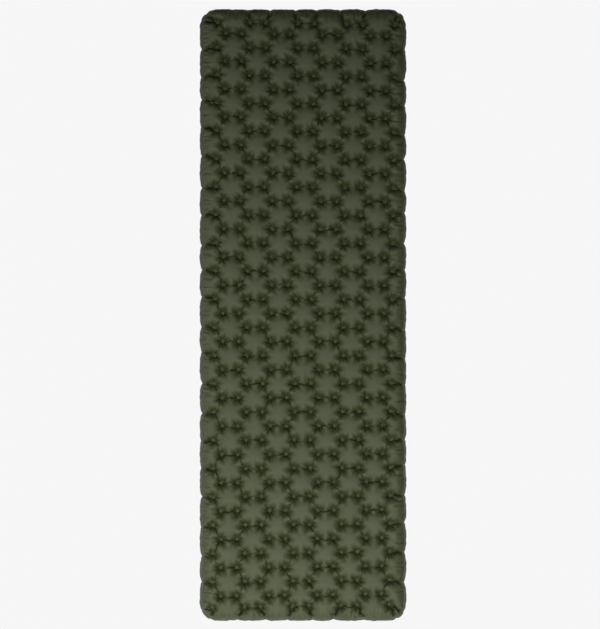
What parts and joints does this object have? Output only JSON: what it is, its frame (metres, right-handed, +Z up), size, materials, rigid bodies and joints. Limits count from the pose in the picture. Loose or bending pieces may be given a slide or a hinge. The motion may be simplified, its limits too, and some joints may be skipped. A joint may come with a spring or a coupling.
{
  "type": "air mattress",
  "caption": "Inflated camping air mattress: quilted coated-fabric skins welded at a honeycomb of dots, a scalloped edge seam, and a hinged flat valve on the underside.",
  "frame": {"origin": "middle of the footprint, on the floor", "axes": "+Y along the length towards the head end, +X across the width, +Z up from the floor"},
  "size_m": [0.64, 1.9, 0.07],
  "materials": {
    "skin_fabric": "matt olive coated ripstop",
    "seam_fabric": "olive, pressed flat by the weld",
    "valve_plastic": "charcoal, fine matt",
    "plug_plastic": "dark grey, fine matt",
    "seal_rubber": "orange rubber",
    "flap_silicone": "pale grey silicone"
  },
  "bodies": {
    "mat": {"top_skin": "skin_fabric", "bottom_skin": "skin_fabric", "edge_seam": "seam_fabric", "valve_base": "valve_plastic", "plug_tether": "valve_plastic"},
    "plug": {"deflate_plug": "plug_plastic", "plug_seal": "seal_rubber"},
    "flap": {"check_flap": "flap_silicone"},
    "cap": {"inflate_cap": "valve_plastic", "cap_seal": "seal_rubber"}
  },
  "joints": [
    {"name": "plug_hinge", "type": "hinge", "parent": "mat", "child": "plug", "pos_m": [-0.225, 0.8512, 0.0085], "axis": [1, 0, 0], "range_deg": [0, 120]},
    {"name": "cap_hinge", "type": "hinge", "parent": "plug", "child": "cap", "pos_m": [-0.225, 0.8086, 0.0024], "axis": [-1, 0, 0], "range_deg": [0, 150]},
    {"name": "flap_press", "type": "slide", "parent": "plug", "child": "flap", "axis": [0, 0, 1], "range_m": [0, 0.0025], "stiffness_N_per_m": 80}
  ]
}
